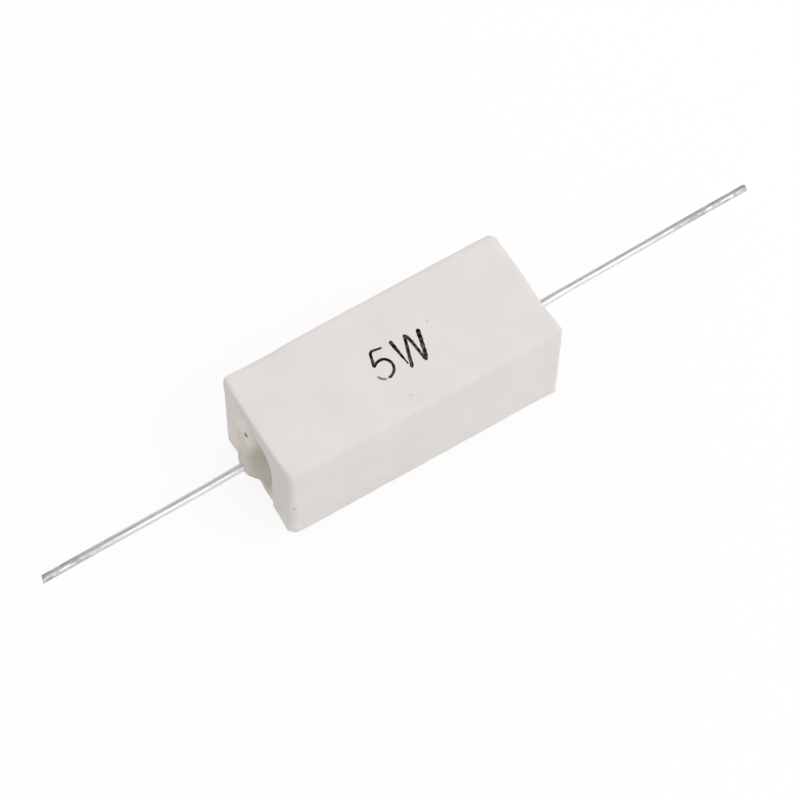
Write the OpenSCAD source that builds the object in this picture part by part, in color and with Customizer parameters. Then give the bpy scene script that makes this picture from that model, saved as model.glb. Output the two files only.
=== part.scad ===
// Cement power resistor with axial leads.
// A ceramic trough, closed on top and open underneath, holds a wound element in cement.
// The cement fills the trough and comes out of the arched end openings as a mound around each lead.
// Millimetres, +Z up, leads along X. The origin is the middle of the case's underside.

/* [Ceramic case] */
// Length of the case, along the leads
case_length = 22; // [20:0.5:30]
// Width of the case
case_width = 9.2; // [8.4:0.1:14]
// Height of the case
case_height = 9.6; // [9:0.1:14]
// Thickness of each long side wall
side_wall = 1.3; // [0.8:0.1:1.6]
// Thickness of each end wall
end_wall = 1.5; // [1:0.1:2]
// Thickness of the closed top wall
top_wall = 1.2; // [0.7:0.1:1.5]
// Radius of the upright outer edges
upright_edge_radius = 0.6; // [0.2:0.05:0.9]
// Radius of the outer edges round the top
top_edge_radius = 0.7; // [0.2:0.05:1]
// Radius of the outer edges round the underside
bottom_edge_radius = 0.45; // [0.1:0.05:0.6]
// Radius of the upright corners inside the trough
trough_corner_radius = 0.8; // [0.3:0.1:1.2]

/* [End openings] */
// Width of the arched opening in each end wall
opening_width = 4.1; // [3:0.1:4.8]
// Height of the end wall left above each opening
opening_top_wall = 1.5; // [1.5:0.1:2.5]
// Radius of the outer edge round each opening
opening_edge_radius = 0.2; // [0.05:0.05:0.4]

/* [Cement] */
// Depth of the cement's face below the rim of the open underside
cement_sink = 0.15; // [0.05:0.05:0.5]
// Depth of the cement's face inside each end opening
plug_recess = 0.2; // [0.05:0.05:0.5]
// Height of the mound round each lead, past the end of the case
mound_height = 1.05; // [0.4:0.05:2]
// Width of the mound's tip, beyond the lead on each side
mound_tip_margin = 0.15; // [0.05:0.05:0.4]
// Space between the mound's foot and the sides of the opening
mound_foot_margin = 0.15; // [0.05:0.05:0.5]
// Fullness of the mound: 1 is a straight cone and smaller is rounder
mound_fullness = 0.6; // [0.4:0.05:1]

/* [Leads] */
// Diameter of the lead wire
lead_diameter = 0.6; // [0.4:0.05:1]
// Length of the left lead past the end of the case
left_lead_length = 17; // [5:0.5:40]
// Length of the right lead past the end of the case
right_lead_length = 19; // [5:0.5:40]
// Height of the leads' axis above the underside
lead_height = 4.6; // [4.2:0.1:5.4]
// Angle at which the left lead bends towards the front where it leaves the cement
left_lead_bend = 0.7; // [0.2:0.1:5]
// Angle at which the right lead bends towards the back where it leaves the cement
right_lead_bend = 1.2; // [0.2:0.1:5]
// Bulge of the wire at each lead's bend, beyond its radius
lead_bend_bulge = 0.02; // [0.01:0.01:0.1]
// Straight length of lead between the tip of the mound and the bend
lead_bend_offset = 0.05; // [0.02:0.01:1]
// Chamfer of each lead's cut end
lead_tip_chamfer = 0.05; // [0.02:0.01:0.15]
// Diameter of the upset foot where a lead is welded to its cap
weld_foot_diameter = 1.1; // [1:0.1:2]
// Height of the upset foot
weld_foot_height = 0.3; // [0.1:0.05:0.6]

/* [Wound element] */
// Length of the core rod
core_length = 15; // [12:0.5:16]
// Diameter of the core rod
core_diameter = 3; // [2.4:0.1:3.4]
// Diameter of the resistance wire
wire_diameter = 0.25; // [0.15:0.01:0.4]
// Distance from one turn of the winding to the next
winding_pitch = 0.6; // [0.5:0.05:1.2]
// Clearance between the winding and what it lies on or in
winding_clearance = 0.04; // [0.03:0.01:0.1]
// Depth of the cup of each end cap
cap_depth = 2.6; // [1.5:0.1:4]
// Thickness of an end cap's metal
cap_wall = 0.25; // [0.15:0.05:0.4]
// Outer radius of an end cap's pressed corner
cap_corner_radius = 0.4; // [0.1:0.05:0.6]

/* [Hidden] */

LEFT = -1;
RIGHT = 1;
ROUND = 64;
// How far a cutting shape reaches past what it cuts
overcut = 1;
// Facets of the winding: steps in each turn and sides of the wire
turn_steps = 16;
wire_sides = 6;
// Straight facets in the mound's curved flank
mound_steps = 10;

ceiling_height = case_height - top_wall;
arch_radius = opening_width / 2;
spring_height = case_height - opening_top_wall - arch_radius;
lead_radius = lead_diameter / 2;
helix_radius = core_diameter / 2 + winding_clearance + wire_diameter / 2;
winding_radius = helix_radius + wire_diameter / 2;
cap_bore_radius = winding_radius + winding_clearance;
cap_radius = cap_bore_radius + cap_wall;
cap_face = core_length / 2 + cap_wall;
mound_foot_radius = opening_width / 2 - mound_foot_margin;
mound_tip_radius = lead_radius + mound_tip_margin;
mound_tip = case_length / 2 + mound_height;
plug_face = case_length / 2 - plug_recess;
bend_radius = lead_radius + lead_bend_bulge;
bend_reach = sqrt(pow(bend_radius, 2) - pow(lead_radius, 2));
bend_middle = mound_tip + lead_bend_offset + bend_reach;

// Case outline

// What comes off a square corner to round it; the piece lies towards +x and +y of the corner
module corner_cut(radius) {
    difference() {
        translate([-overcut, -overcut]) square(radius + overcut);
        translate([radius, radius]) circle(radius, $fn = ROUND);
    }
}

// A rectangle standing on the x axis, with one radius for its low corners and one for its high corners
module rounded_outline(width, height, low_radius, high_radius) {
    difference() {
        translate([-width / 2, 0]) square([width, height]);
        translate([-width / 2, 0]) corner_cut(low_radius);
        translate([width / 2, 0]) rotate(90) corner_cut(low_radius);
        translate([width / 2, height]) rotate(180) corner_cut(high_radius);
        translate([-width / 2, height]) rotate(270) corner_cut(high_radius);
    }
}

// An upright block with rounded upright edges, from one height to another
module upright_block(length, width, radius, low, high) {
    translate([0, -width / 2, low])
        linear_extrude(high - low)
            rounded_outline(length, width, radius, radius);
}

module case_block() {
    intersection() {
        upright_block(case_length, case_width, upright_edge_radius, 0, case_height);
        rotate([90, 0, 90])
            linear_extrude(case_length, center = true)
                rounded_outline(case_width, case_height, bottom_edge_radius, top_edge_radius);
        rotate([90, 0, 0])
            linear_extrude(case_width, center = true)
                rounded_outline(case_length, case_height, bottom_edge_radius, top_edge_radius);
    }
}

// The space that the cement takes up, also used to hollow the case

module trough(low) {
    upright_block(
        case_length - 2 * end_wall, case_width - 2 * side_wall, trough_corner_radius, low, ceiling_height
    );
}

module end_openings(low, reach) {
    inner_reach = case_length / 2 - end_wall - overcut;
    for (side = [LEFT, RIGHT])
        translate([side * (inner_reach + reach) / 2, 0, 0])
            rotate([90, 0, 90])
                linear_extrude(reach - inner_reach, center = true)
                    union() {
                        translate([-arch_radius, low]) square([opening_width, spring_height - low]);
                        translate([0, spring_height]) circle(arch_radius, $fn = ROUND);
                    }
}

// What comes off the outer edge of each opening to round it, up both sides and round the arch
module opening_edge_cuts(low) {
    for (side = [LEFT, RIGHT])
        mirror([side == LEFT ? 1 : 0, 0, 0])
            translate([case_length / 2, 0, 0]) {
                for (jamb = [LEFT, RIGHT])
                    mirror([0, jamb == LEFT ? 1 : 0, 0])
                        translate([0, arch_radius, low])
                            rotate(90)
                                linear_extrude(spring_height - low)
                                    corner_cut(opening_edge_radius);
                translate([0, 0, spring_height])
                    rotate([0, -90, 0])
                        rotate_extrude($fn = ROUND)
                            translate([arch_radius, 0]) corner_cut(opening_edge_radius);
            }
}

// Element, each piece drawn with +Z of its own frame pointing along the left or the right lead

module on_lead_axis(side) {
    translate([0, 0, lead_height])
        rotate([0, side * 90, 0])
            children();
}

module cap_envelope() {
    cup_length = cap_depth + cap_wall;
    translate([0, 0, cap_face - cup_length])
        rotate_extrude($fn = ROUND)
            difference() {
                square([cap_radius, cup_length]);
                translate([cap_radius, cup_length]) rotate(180) corner_cut(cap_corner_radius);
            }
}

// The straight stretch of a lead that lies in the cement, from its welded foot to the bend
module lead_root() {
    rotate_extrude($fn = ROUND)
        polygon([
            [0, cap_face],
            [weld_foot_diameter / 2, cap_face],
            [lead_radius, cap_face + weld_foot_height],
            [lead_radius, bend_middle],
            [0, bend_middle]
        ]);
}

// The free stretch of a lead, straight from z = 0 to its cut end
module lead_free(length) {
    rotate_extrude($fn = ROUND)
        polygon([
            [0, 0],
            [lead_radius, 0],
            [lead_radius, length - lead_tip_chamfer],
            [lead_radius - lead_tip_chamfer, length],
            [0, length]
        ]);
}

// A whole lead, which bends towards +Y
module lead_wire(length, bend) {
    lead_root();
    translate([0, 0, bend_middle]) {
        sphere(bend_radius, $fn = ROUND);
        rotate([-bend, 0, 0])
            lead_free(case_length / 2 + length - bend_middle);
    }
}

module element_envelope() {
    on_lead_axis(RIGHT)
        cylinder(h = core_length, r = cap_bore_radius, center = true, $fn = ROUND);
    for (side = [LEFT, RIGHT])
        on_lead_axis(side) {
            cap_envelope();
            lead_root();
            // Runs through the face where the lead's foot sits on the cap
            translate([0, 0, core_length / 2])
                cylinder(h = cap_wall + weld_foot_height, r = lead_radius, $fn = ROUND);
        }
}

// The mound's flank, from its tip at share 0 to its foot at share 1
function mound_point(share) = [
    mound_tip_radius + (mound_foot_radius - mound_tip_radius) * pow(share, mound_fullness),
    mound_tip + (plug_face - mound_tip) * share
];

module mound() {
    root = plug_face - end_wall / 2;
    rotate_extrude($fn = ROUND)
        polygon(concat(
            [[0, root], [0, mound_tip]],
            [for (step = [0 : mound_steps]) mound_point(step / mound_steps)],
            [[mound_foot_radius, root]]
        ));
}

// Points and faces of a wire of a few flat sides wound in a helix along z
function helix_turn_angle(step) = 360 * step / turn_steps;
function helix_height(step) = winding_pitch * step / turn_steps;
function wire_angle(side) = 360 * side / wire_sides;
function wire_point(step, side, low) = [
    (helix_radius + wire_diameter / 2 * cos(wire_angle(side))) * cos(helix_turn_angle(step)),
    (helix_radius + wire_diameter / 2 * cos(wire_angle(side))) * sin(helix_turn_angle(step)),
    low + helix_height(step) + wire_diameter / 2 * sin(wire_angle(side))
];
function ring_index(step, side) = step * wire_sides + side % wire_sides;

module helix(length) {
    steps = floor((length - wire_diameter) / winding_pitch * turn_steps);
    low = -helix_height(steps) / 2;
    points = [
        for (step = [0 : steps], side = [0 : wire_sides - 1]) wire_point(step, side, low)
    ];
    flanks = [
        for (step = [0 : steps - 1], side = [0 : wire_sides - 1], half = [0, 1])
            half == 0
                ? [ring_index(step, side), ring_index(step, side + 1), ring_index(step + 1, side)]
                : [ring_index(step, side + 1), ring_index(step + 1, side + 1), ring_index(step + 1, side)]
    ];
    first_end = [for (side = [wire_sides - 1 : -1 : 0]) ring_index(0, side)];
    last_end = [for (side = [0 : wire_sides - 1]) ring_index(steps, side)];
    polyhedron(points = points, faces = concat(flanks, [first_end, last_end]));
}

// Pieces

module ceramic_case() {
    color("#e2ded8")
        difference() {
            case_block();
            trough(-overcut);
            end_openings(-overcut, case_length / 2 + overcut);
            opening_edge_cuts(-overcut);
        }
}

module cement_fill() {
    color("#c9c3b8")
        difference() {
            union() {
                trough(cement_sink);
                end_openings(cement_sink, plug_face);
                for (side = [LEFT, RIGHT])
                    on_lead_axis(side) mound();
            }
            element_envelope();
        }
}

module core_rod() {
    color("#f0ece0")
        on_lead_axis(RIGHT)
            cylinder(h = core_length, d = core_diameter, center = true, $fn = ROUND);
}

module resistance_winding() {
    color("#7d7872")
        on_lead_axis(RIGHT) helix(core_length);
}

module end_cap() {
    difference() {
        cap_envelope();
        translate([0, 0, core_length / 2 - cap_depth - overcut])
            cylinder(h = cap_depth + overcut, r = cap_bore_radius, $fn = ROUND);
    }
}

module end_cap_left() {
    color("#a7a9ab") on_lead_axis(LEFT) end_cap();
}

module end_cap_right() {
    color("#a7a9ab") on_lead_axis(RIGHT) end_cap();
}

module lead_left() {
    color("#c6c8ca") on_lead_axis(LEFT) rotate(180) lead_wire(left_lead_length, left_lead_bend);
}

module lead_right() {
    color("#c6c8ca") on_lead_axis(RIGHT) lead_wire(right_lead_length, right_lead_bend);
}

ceramic_case();
cement_fill();
core_rod();
resistance_winding();
end_cap_left();
end_cap_right();
lead_left();
lead_right();
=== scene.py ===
"""Cement power resistor: the looks of every piece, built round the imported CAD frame."""
import math

import bmesh
import bpy
from mathutils import Matrix, Vector, noise


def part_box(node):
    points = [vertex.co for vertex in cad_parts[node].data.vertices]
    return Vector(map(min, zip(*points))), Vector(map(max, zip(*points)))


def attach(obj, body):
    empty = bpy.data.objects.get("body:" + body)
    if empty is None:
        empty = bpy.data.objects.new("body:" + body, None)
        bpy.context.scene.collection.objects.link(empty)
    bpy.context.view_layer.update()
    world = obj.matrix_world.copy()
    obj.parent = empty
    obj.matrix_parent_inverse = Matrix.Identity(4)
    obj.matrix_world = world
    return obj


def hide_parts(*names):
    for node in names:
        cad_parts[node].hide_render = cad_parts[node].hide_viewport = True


# Shapes are worked out in millimetres and turned into metres when a piece is done
MM = 0.001
LEFT = -1
RIGHT = 1

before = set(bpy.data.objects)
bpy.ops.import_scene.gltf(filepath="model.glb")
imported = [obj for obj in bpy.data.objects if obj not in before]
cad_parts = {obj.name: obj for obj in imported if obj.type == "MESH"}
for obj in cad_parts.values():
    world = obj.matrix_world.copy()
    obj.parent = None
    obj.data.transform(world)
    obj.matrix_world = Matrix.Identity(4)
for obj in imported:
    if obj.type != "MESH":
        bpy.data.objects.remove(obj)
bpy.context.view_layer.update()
scene = bpy.context.scene
scene.view_settings.view_transform = "Standard"


def box_mm(node):
    """Lowest and highest corner of a CAD node, in millimetres."""
    low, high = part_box(node)
    return Vector(low) / MM, Vector(high) / MM


# Sizes taken from the frame
case_low, case_high = box_mm("ceramic_case")
cement_low, cement_high = box_mm("cement_fill")
cap_low, cap_high = box_mm("end_cap_right")
winding_high = box_mm("resistance_winding")[1]
CASE_MIDDLE = (case_low + case_high) / 2
CASE_HALF = (case_high - case_low) / 2
CASE_END = case_high.x
CASE_TOP = case_high.z
LEAD_Z = (cap_low.z + cap_high.z) / 2
CAP_RADIUS = (cap_high.z - cap_low.z) / 2
WINDING_RADIUS = winding_high.z - LEAD_Z
MOUND_HEIGHT = cement_high.x - CASE_END

# Sizes that the boxes don't show, as the CAD model has them
OPENING_HALF = 2.05
OPENING_CROWN = 8.1
OPENING_EDGE = 0.2
TROUGH_END = 9.5
TROUGH_CORNER = 0.8
PLUG_RECESS = 0.2
MOUND_TIP_RADIUS = 0.45
MOUND_FOOT_RADIUS = 1.9
MOUND_FULLNESS = 0.6
LEAD_RADIUS = 0.3
WELD_FOOT_RADIUS = 0.55
WELD_FOOT_HEIGHT = 0.3
ELEMENT_CLEARANCE = 0.04
# From the tip of the mound to the middle of the lead's bend
LEAD_STRAIGHT = 0.16
LEAD_BEND_X = CASE_END + MOUND_HEIGHT + LEAD_STRAIGHT
LEAD_BENDS = {LEFT: math.radians(-0.7), RIGHT: math.radians(1.2)}


# Camera: the photograph's viewpoint, solved from the corners of the case
CAMERA_AZIMUTH = math.radians(-32.62)
CAMERA_ELEVATION = math.radians(63.67)
CAMERA_ROLL = math.radians(1.208)
CAMERA_DISTANCE = 237.245 * MM
CAMERA_SIDE_STEP = 0.546 * MM
CAMERA_UP_STEP = -1.109 * MM
FOCAL_PIXELS = 3410.1
IMAGE_PIXELS = 800
SENSOR_WIDTH = 36.0
CLIP_START = 0.01
CLIP_END = 10.0


def add_camera(target):
    """The scene's camera, which looks past the target by the side step and the up step."""
    back = Vector((
        math.sin(CAMERA_AZIMUTH) * math.cos(CAMERA_ELEVATION),
        -math.cos(CAMERA_AZIMUTH) * math.cos(CAMERA_ELEVATION),
        math.sin(CAMERA_ELEVATION),
    ))
    level = Vector((math.cos(CAMERA_AZIMUTH), math.sin(CAMERA_AZIMUTH), 0))
    upward = back.cross(level)
    right = level * math.cos(CAMERA_ROLL) + upward * math.sin(CAMERA_ROLL)
    up = upward * math.cos(CAMERA_ROLL) - level * math.sin(CAMERA_ROLL)
    place = target + right * CAMERA_SIDE_STEP + up * CAMERA_UP_STEP + back * CAMERA_DISTANCE
    data = bpy.data.cameras.new("camera")
    data.sensor_width = SENSOR_WIDTH
    data.lens = FOCAL_PIXELS / IMAGE_PIXELS * SENSOR_WIDTH
    data.clip_start = CLIP_START
    data.clip_end = CLIP_END
    camera = bpy.data.objects.new("camera", data)
    camera.matrix_world = Matrix((
        (right.x, up.x, back.x, place.x),
        (right.y, up.y, back.y, place.y),
        (right.z, up.z, back.z, place.z),
        (0, 0, 0, 1),
    ))
    scene.collection.objects.link(camera)
    scene.camera = camera


add_camera(CASE_MIDDLE * MM)


# Node trees
# The colour sockets of a Mix node go by number, because several of its sockets share a name
MIX_FACTOR = 0
MIX_FIRST = 6
MIX_SECOND = 7
MIX_RESULT = 2


def add_node(tree, kind, inputs=None, **settings):
    """A shader node with its settings, and with each input linked or set."""
    made = tree.nodes.new("ShaderNode" + kind)
    for name, value in settings.items():
        setattr(made, name, value)
    for name, value in (inputs or {}).items():
        if isinstance(value, bpy.types.NodeSocket):
            tree.links.new(value, made.inputs[name])
        else:
            made.inputs[name].default_value = value
    return made


def calculate(tree, operation, first, second):
    return add_node(tree, "Math", {0: first, 1: second}, operation=operation).outputs[0]


def times(tree, first, second):
    return calculate(tree, "MULTIPLY", first, second)


def add_up(tree, first, second):
    return calculate(tree, "ADD", first, second)


def larger(tree, first, second):
    return calculate(tree, "MAXIMUM", first, second)


def mix(tree, factor, first, second):
    """The first colour where the factor is 0 and the second where it is 1."""
    inputs = {MIX_FACTOR: factor, MIX_FIRST: first, MIX_SECOND: second}
    return add_node(tree, "Mix", inputs, data_type="RGBA").outputs[MIX_RESULT]


def remap(tree, value, low, high, new_low=0.0, new_high=1.0):
    """The value, moved from one span to another and held inside it."""
    made = add_node(tree, "MapRange", {
        "Value": value, "From Min": low, "From Max": high, "To Min": new_low, "To Max": new_high,
    })
    return made.outputs["Result"]


def fall(tree, value, low, high):
    """1 up to the low value, falling to 0 at the high one."""
    return remap(tree, value, low, high, 1.0, 0.0)


def grey(level):
    """An opaque grey of that level."""
    return (level, level, level, 1)


def background_mask(tree):
    """1 for rays that show the background to the eye: straight on, mirrored or through a clear piece."""
    path = add_node(tree, "LightPath")
    straight = path.outputs["Is Camera Ray"]
    mirrored = path.outputs["Is Glossy Ray"]
    through = path.outputs["Is Transmission Ray"]
    return larger(tree, larger(tree, straight, mirrored), through)


# Stage and light, in metres
WORLD_LIGHT = 0.90
FLOOR_ALBEDO = 0.97
FLOOR_WASH = 0.85
FLOOR_SIZE = 3.0
KEY_PLACE = (0.26, -0.37, 0.52)
KEY_SIZE = 0.4
KEY_POWER = 0.95
CARD_RADIUS = 0.3
CARD_HALF_WIDTH = 0.3
CARD_FIRST_ANGLE = math.radians(64)
CARD_LAST_ANGLE = math.radians(166)
CARD_STEPS = 12
CARD_GREY = 0.53
FLAG_X = -0.15
FLAG_FIRST_Y = -0.45
FLAG_LAST_Y = 0.08
FLAG_HEIGHT = 0.075


def stage_piece(name, points, quads):
    """A mesh of the stage with an empty material, and that material's node tree."""
    mesh = bpy.data.meshes.new(name)
    mesh.from_pydata(points, [], quads)
    piece = bpy.data.objects.new(name, mesh)
    scene.collection.objects.link(piece)
    material = bpy.data.materials.new(name)
    material.use_nodes = True
    material.node_tree.nodes.clear()
    mesh.materials.append(material)
    return piece, material.node_tree


def make_world():
    """Even white light from all round, and pure white where the background is seen."""
    world = bpy.data.worlds.new("studio")
    scene.world = world
    world.use_nodes = True
    tree = world.node_tree
    tree.nodes.clear()
    dome = add_node(tree, "Background", {"Color": grey(1), "Strength": WORLD_LIGHT})
    white = add_node(tree, "Background", {"Color": grey(1), "Strength": 1})
    seen = background_mask(tree)
    sky = add_node(tree, "MixShader", {0: seen, 1: dome.outputs[0], 2: white.outputs[0]})
    add_node(tree, "OutputWorld", {"Surface": sky.outputs[0]})


def make_floor():
    """A white floor that takes the object's shadow, washed out towards white where it is seen."""
    half = FLOOR_SIZE / 2
    corners = [(-half, -half, 0), (half, -half, 0), (half, half, 0), (-half, half, 0)]
    tree = stage_piece("floor", corners, [(0, 1, 2, 3)])[1]
    paper = add_node(tree, "BsdfDiffuse", {"Color": grey(FLOOR_ALBEDO)})
    white = add_node(tree, "Emission", {"Strength": 1})
    wash = times(tree, background_mask(tree), FLOOR_WASH)
    seen = add_node(tree, "MixShader", {0: wash, 1: paper.outputs[0], 2: white.outputs[0]})
    add_node(tree, "OutputMaterial", {"Surface": seen.outputs[0]})


def make_reflection_card():
    """A grey card arched over the back, which shows only in the shine of other pieces."""
    points = []
    for step in range(CARD_STEPS + 1):
        angle = CARD_FIRST_ANGLE + (CARD_LAST_ANGLE - CARD_FIRST_ANGLE) * step / CARD_STEPS
        y = -CARD_RADIUS * math.cos(angle)
        z = CARD_RADIUS * math.sin(angle)
        points += [(-CARD_HALF_WIDTH, y, z), (CARD_HALF_WIDTH, y, z)]
    quads = [(2 * step, 2 * step + 1, 2 * step + 3, 2 * step + 2) for step in range(CARD_STEPS)]
    card, tree = stage_piece("reflection_card", points, quads)
    glow = add_node(tree, "Emission", {"Color": grey(CARD_GREY), "Strength": 1})
    add_node(tree, "OutputMaterial", {"Surface": glow.outputs[0]})
    card.visible_camera = False
    card.visible_diffuse = False
    card.visible_shadow = False
    card.visible_transmission = False


def make_flag():
    """A black card that keeps some of the low light off the left end, and shows in no shine."""
    corners = [
        (FLAG_X, FLAG_FIRST_Y, 0), (FLAG_X, FLAG_LAST_Y, 0),
        (FLAG_X, FLAG_LAST_Y, FLAG_HEIGHT), (FLAG_X, FLAG_FIRST_Y, FLAG_HEIGHT),
    ]
    flag, tree = stage_piece("flag", corners, [(0, 1, 2, 3)])
    black = add_node(tree, "BsdfDiffuse", {"Color": grey(0)})
    add_node(tree, "OutputMaterial", {"Surface": black.outputs[0]})
    flag.visible_camera = False
    flag.visible_glossy = False
    flag.visible_transmission = False


def add_key_light():
    """One large soft lamp, up on the right of the front, turned to the case."""
    data = bpy.data.lights.new("key", "AREA")
    data.shape = "SQUARE"
    data.size = KEY_SIZE
    data.energy = KEY_POWER
    light = bpy.data.objects.new("key", data)
    light.location = KEY_PLACE
    light.rotation_euler = (CASE_MIDDLE * MM - Vector(KEY_PLACE)).to_track_quat("-Z", "Y").to_euler()
    scene.collection.objects.link(light)


make_world()
make_floor()
make_reflection_card()
make_flag()
add_key_light()


# Mesh tools
# Edges shorter than this are dissolved after a cut or a join
SLIVER = 0.0001


def make_mesh(name, points, faces):
    """A closed mesh object in millimetres, with its faces turned outwards."""
    mesh = bpy.data.meshes.new(name)
    mesh.from_pydata(points, [], faces)
    shape = bmesh.new()
    shape.from_mesh(mesh)
    bmesh.ops.recalc_face_normals(shape, faces=shape.faces)
    shape.to_mesh(mesh)
    shape.free()
    piece = bpy.data.objects.new(name, mesh)
    scene.collection.objects.link(piece)
    return piece


def loft(name, rings):
    """A closed solid through rings of as many points each, capped at both ends."""
    count = len(rings[0])
    points = [point for ring in rings for point in ring]
    faces = [list(range(count)), list(range(len(points) - count, len(points)))]
    for ring in range(len(rings) - 1):
        for step in range(count):
            near = ring * count
            far = near + count
            after = (step + 1) % count
            faces.append((near + step, near + after, far + after, far + step))
    return make_mesh(name, points, faces)


def combine(piece, operation, tools):
    """Joins the piece with the tools or cuts it by them, then deletes tools, slivers and loose edges."""
    for tool in tools:
        step = piece.modifiers.new(operation, "BOOLEAN")
        step.operation = operation
        step.solver = "EXACT"
        step.object = tool
    seen = piece.evaluated_get(bpy.context.evaluated_depsgraph_get())
    result = bpy.data.meshes.new_from_object(seen)
    shape = bmesh.new()
    shape.from_mesh(result)
    bmesh.ops.dissolve_degenerate(shape, dist=SLIVER, edges=shape.edges)
    wires = [edge for edge in shape.edges if edge.is_wire]
    bmesh.ops.delete(shape, geom=wires, context="EDGES")
    shape.to_mesh(result)
    shape.free()
    piece.modifiers.clear()
    piece.data = result
    for tool in tools:
        bpy.data.objects.remove(tool)


def finish_piece(piece, material, smooth_angle, node=None):
    """Makes a shape a piece of the object: metres, smooth shading, material, body and CAD node."""
    piece.data.transform(Matrix.Scale(MM, 4))
    piece.data.polygons.foreach_set("use_smooth", [True] * len(piece.data.polygons))
    piece.data.set_sharp_from_angle(angle=math.radians(smooth_angle))
    piece.data.materials.clear()
    piece.data.materials.append(material)
    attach(piece, "root")
    if node:
        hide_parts(node)


def ripple(point, size, seed):
    """Smooth noise between about -1 and 1, in lumps of that size."""
    return noise.noise(Vector(point) / size + Vector((seed, -seed, 2 * seed)))


def hump(point, centre, spread):
    """A smooth bell: 1 at the centre and close to 0 at twice the spread."""
    share = sum(((a - b) / s) ** 2 for a, b, s in zip(point, centre, spread))
    return math.exp(-share)


def circle(steps):
    """Points round a circle of radius 1."""
    angles = [2 * math.pi * step / steps for step in range(steps)]
    return [(math.cos(angle), math.sin(angle)) for angle in angles]


def stops(low, high, edge_zone, edge_step, middle_step):
    """Grid stops from low to high, closer together near both ends."""
    edge_count = round(edge_zone / edge_step)
    middle = high - low - 2 * edge_zone
    middle_count = round(middle / middle_step)
    first = [low + edge_zone * i / edge_count for i in range(edge_count)]
    centre = [low + edge_zone + middle * i / middle_count for i in range(middle_count + 1)]
    last = [high - edge_zone + edge_zone * (i + 1) / edge_count for i in range(edge_count)]
    return first + centre + last


def box_shell(grid):
    """Points and quads of a box's surface, on a grid of stops along X, Y and Z."""
    last = [len(axis_stops) - 1 for axis_stops in grid]
    index = {}
    points = []
    quads = []

    def vertex(cell):
        if cell not in index:
            index[cell] = len(points)
            points.append(Vector(grid[axis][cell[axis]] for axis in range(3)))
        return index[cell]

    for axis in range(3):
        across = (axis + 1) % 3
        along = (axis + 2) % 3
        for end in (0, last[axis]):
            for i in range(last[across]):
                for j in range(last[along]):
                    quad = []
                    for step_i, step_j in ((0, 0), (1, 0), (1, 1), (0, 1)):
                        cell = [0, 0, 0]
                        cell[axis] = end
                        cell[across] = i + step_i
                        cell[along] = j + step_j
                        quad.append(vertex(tuple(cell)))
                    quads.append(quad)
    return points, quads


def rounded_rectangle(half_x, half_y, radius, corner_steps):
    """Points (x, y) round a rectangle with round corners."""
    points = []
    for quarter in range(4):
        side_x = 1 if quarter in (0, 3) else -1
        side_y = 1 if quarter in (0, 1) else -1
        for step in range(corner_steps + 1):
            angle = math.radians(90) * (quarter + step / corner_steps)
            x = side_x * (half_x - radius) + radius * math.cos(angle)
            y = side_y * (half_y - radius) + radius * math.sin(angle)
            points.append((x, y))
    return points


# Materials
# A noise is given by its lumps in a millimetre, then its detail and roughness if not the usual ones
# Two spans of a noise's values, each read as running from nothing to full
WIDE_SPAN = (0.3, 0.7)
NARROW_SPAN = (0.35, 0.65)


def start_material(name, **uniform):
    """A material, its tree, its main shader, and a place socket in millimetres of the object's frame."""
    material = bpy.data.materials.new(name)
    material.use_nodes = True
    tree = material.node_tree
    shader = tree.nodes["Principled BSDF"]
    for socket, value in uniform.items():
        shader.inputs[socket.replace("_", " ")].default_value = value
    frame_place = add_node(tree, "TexCoord").outputs["Object"]
    place = add_node(tree, "VectorMath", {0: frame_place, "Scale": 1 / MM}, operation="SCALE")
    return material, tree, shader, place.outputs["Vector"]


def grain(tree, place, per_mm, detail=3.0, rough=0.55):
    """Noise with about that many lumps in a millimetre."""
    inputs = {"Vector": place, "Scale": per_mm, "Detail": detail, "Roughness": rough}
    return add_node(tree, "TexNoise", inputs).outputs["Fac"]


def cells(tree, place, per_mm):
    """Distance, in cells, to the nearest of scattered points, about so many of them in a millimetre."""
    return add_node(tree, "TexVoronoi", {"Vector": place, "Scale": per_mm}).outputs["Distance"]


def stretched(tree, place, factors):
    return add_node(tree, "VectorMath", {0: place, 1: factors}, operation="MULTIPLY").outputs["Vector"]


def spot(tree, place, centre, radius, soft):
    """1 inside a ball of the object's frame, falling to 0 over the soft width round it."""
    apart = add_node(tree, "VectorMath", {0: place, 1: centre}, operation="DISTANCE")
    return fall(tree, apart.outputs["Value"], radius, radius + soft)


def lay_stains_and_painted_light(tree, place, colour, spots):
    """The colour with each spot of a table laid over it: real marks, or painted light and shade."""
    for centre, radius, soft, strength, tint in spots:
        mask = spot(tree, place, centre, radius, soft)
        colour = mix(tree, times(tree, mask, strength), colour, (*tint, 1))
    return colour


def grains(tree, place, layers):
    """Bumps of plain noise: each layer is its lumps in a millimetre, its detail and its depth."""
    return [(grain(tree, place, per_mm, detail), depth) for per_mm, detail, depth in layers]


def bump(tree, shader, heights):
    """Stacks bumps, each a height socket and its depth in millimetres, on the shader's normal."""
    normal = None
    for height, depth in heights:
        inputs = {"Height": height, "Distance": depth * MM, "Strength": 1.0}
        if normal:
            inputs["Normal"] = normal
        normal = add_node(tree, "Bump", inputs).outputs["Normal"]
    tree.links.new(normal, shader.inputs["Normal"])


# Looks of the case's ceramic
CERAMIC_SHINE = 0.3
CERAMIC_ROUGHNESS = (0.72, 0.9)
CERAMIC_PATCHES = (1.6,)
CERAMIC_CLOUDS = (0.22, 2.0)
CERAMIC_DARK = (0.752, 0.708, 0.678, 1)
CERAMIC_PALE = (0.785, 0.742, 0.722, 1)
SPECKS = (7.0, 4.0, 0.7)
SPECK_COLOUR = (0.715, 0.675, 0.645, 1)
SPECK_STRENGTH = 0.35
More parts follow.
